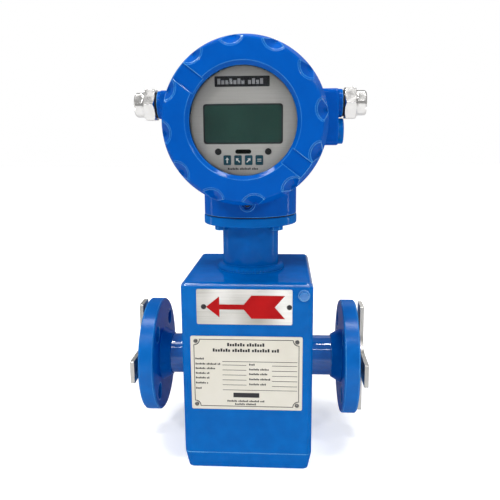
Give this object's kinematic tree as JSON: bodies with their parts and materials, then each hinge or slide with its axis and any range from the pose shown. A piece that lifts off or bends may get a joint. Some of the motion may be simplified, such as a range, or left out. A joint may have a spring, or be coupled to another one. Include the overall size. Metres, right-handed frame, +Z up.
{
  "type": "electromagnetic flow meter",
  "caption": "Flanged electromagnetic flow meter: lined tube, blue welded sensor box and neck, and a round transmitter with display window, screw covers, keys and cable glands.",
  "frame": {"origin": "centre of the flow bore, midway between the two liner faces", "axes": "+X along the flow bore to the right, -Y towards the front with the display, +Z up to the transmitter"},
  "size_m": [0.2138, 0.179, 0.3707],
  "materials": {
    "blue_steel": "gloss royal blue enamel on steel",
    "blue_cast": "gloss royal blue enamel on cast aluminium",
    "bright_plate": "bright stainless sheet",
    "stainless": "turned stainless steel",
    "nickel": "nickel plated brass",
    "ivory_plate": "satin champagne sheet",
    "arrow_red": "red enamel",
    "liner_white": "white fluoropolymer",
    "copper": "enamelled copper winding",
    "soft_iron": "bare soft iron",
    "black_rubber": "black rubber",
    "window_glass": "clear toughened glass",
    "bezel_silver": "brushed silver plate",
    "lcd_dark": "dark green display",
    "key_dark": "dark key cap",
    "board_green": "solder mask green",
    "terminal_green": "green terminal plastic",
    "black_steel": "blackened steel"
  },
  "bodies": {
    "meter": {"measuring_tube": "blue_steel", "liner": "liner_white", "flange_left": "blue_steel", "flange_right": "blue_steel", "earthing_plate_left": "bright_plate", "earthing_plate_right": "bright_plate", "pole_shoe_upper": "soft_iron", "pole_shoe_lower": "soft_iron", "coil_upper": "copper", "coil_lower": "copper", "magnet_yoke": "soft_iron", "electrode_front": "stainless", "electrode_rear": "stainless", "electrode_bushes": "liner_white", "sensor_housing": "blue_steel", "base_pan": "blue_steel", "neck": "blue_steel", "neck_gasket": "black_rubber", "neck_bolts": "blue_steel", "transmitter_housing": "blue_cast", "display_plate": "bezel_silver", "display_screws": "black_steel", "display_spacers": "stainless", "display_module": "lcd_dark", "key_switches": "black_rubber", "display_board": "board_green", "main_board": "board_green", "board_pillars": "stainless", "terminal_block": "terminal_green", "terminal_screws": "stainless", "gland_washer_left": "black_rubber", "gland_body_left": "nickel", "gland_seal_left": "black_rubber", "gland_washer_right": "black_rubber", "gland_body_right": "nickel", "gland_seal_right": "black_rubber", "blanking_plug": "blue_steel", "cover_lock_screw": "black_steel", "arrow_plate": "bright_plate", "name_plate": "ivory_plate", "flow_arrow": "arrow_red", "plate_rivets": "stainless", "arrow_rivets": "black_steel", "earth_washer": "blue_steel", "earth_screw": "blue_steel"},
    "front_cover_travel": {"front_cover_seal": "black_rubber"},
    "front_cover": {"front_cover": "blue_cast", "window_glass": "window_glass", "glass_retainer": "stainless"},
    "rear_cover_travel": {"rear_cover_seal": "black_rubber"},
    "rear_cover": {"rear_cover": "blue_cast"},
    "gland_travel_left": {"gland_slip_ring_left": "nickel"},
    "gland_nut_left": {"gland_nut_left": "nickel"},
    "gland_travel_right": {"gland_slip_ring_right": "nickel"},
    "gland_nut_right": {"gland_nut_right": "nickel"},
    "key_up": {"key_up": "key_dark"},
    "key_down": {"key_down": "key_dark"},
    "key_shift": {"key_shift": "key_dark"},
    "key_enter": {"key_enter": "key_dark"}
  },
  "joints": [
    {"name": "front_cover_travel", "type": "slide", "parent": "meter", "child": "front_cover_travel", "axis": [0, -1, 0], "range_m": [0, 0.0085]},
    {"name": "front_cover_turn", "type": "hinge", "parent": "front_cover_travel", "child": "front_cover", "pos_m": [0, -0.077, 0.2205], "axis": [0, -1, 0], "range_deg": [0, 1530]},
    {"name": "rear_cover_travel", "type": "slide", "parent": "meter", "child": "rear_cover_travel", "axis": [0, 1, 0], "range_m": [0, 0.0085]},
    {"name": "rear_cover_turn", "type": "hinge", "parent": "rear_cover_travel", "child": "rear_cover", "pos_m": [0, 0.077, 0.2205], "axis": [0, 1, 0], "range_deg": [0, 1530]},
    {"name": "gland_nut_left_travel", "type": "slide", "parent": "meter", "child": "gland_travel_left", "axis": [-1, 0, 0], "range_m": [0, 0.00637]},
    {"name": "gland_nut_left_turn", "type": "hinge", "parent": "gland_travel_left", "child": "gland_nut_left", "pos_m": [-0.1, 0, 0.2383], "axis": [-1, 0, 0], "range_deg": [0, 1530]},
    {"name": "gland_nut_right_travel", "type": "slide", "parent": "meter", "child": "gland_travel_right", "axis": [1, 0, 0], "range_m": [0, 0.00637]},
    {"name": "gland_nut_right_turn", "type": "hinge", "parent": "gland_travel_right", "child": "gland_nut_right", "pos_m": [0.1, 0, 0.2383], "axis": [1, 0, 0], "range_deg": [0, 1530]},
    {"name": "key_up_press", "type": "slide", "parent": "meter", "child": "key_up", "axis": [0, 1, 0], "range_m": [0, 0.0005], "stiffness_N_per_m": 300},
    {"name": "key_down_press", "type": "slide", "parent": "meter", "child": "key_down", "axis": [0, 1, 0], "range_m": [0, 0.0005], "stiffness_N_per_m": 300},
    {"name": "key_shift_press", "type": "slide", "parent": "meter", "child": "key_shift", "axis": [0, 1, 0], "range_m": [0, 0.0005], "stiffness_N_per_m": 300},
    {"name": "key_enter_press", "type": "slide", "parent": "meter", "child": "key_enter", "axis": [0, 1, 0], "range_m": [0, 0.0005], "stiffness_N_per_m": 300}
  ],
  "couplings": [
    {"joint": "front_cover_travel", "follows": "front_cover_turn", "m_per_rad": 0.00031831},
    {"joint": "rear_cover_travel", "follows": "rear_cover_turn", "m_per_rad": 0.00031831},
    {"joint": "gland_nut_left_travel", "follows": "gland_nut_left_turn", "m_per_rad": 0.00023873},
    {"joint": "gland_nut_right_travel", "follows": "gland_nut_right_turn", "m_per_rad": 0.00023873}
  ]
}
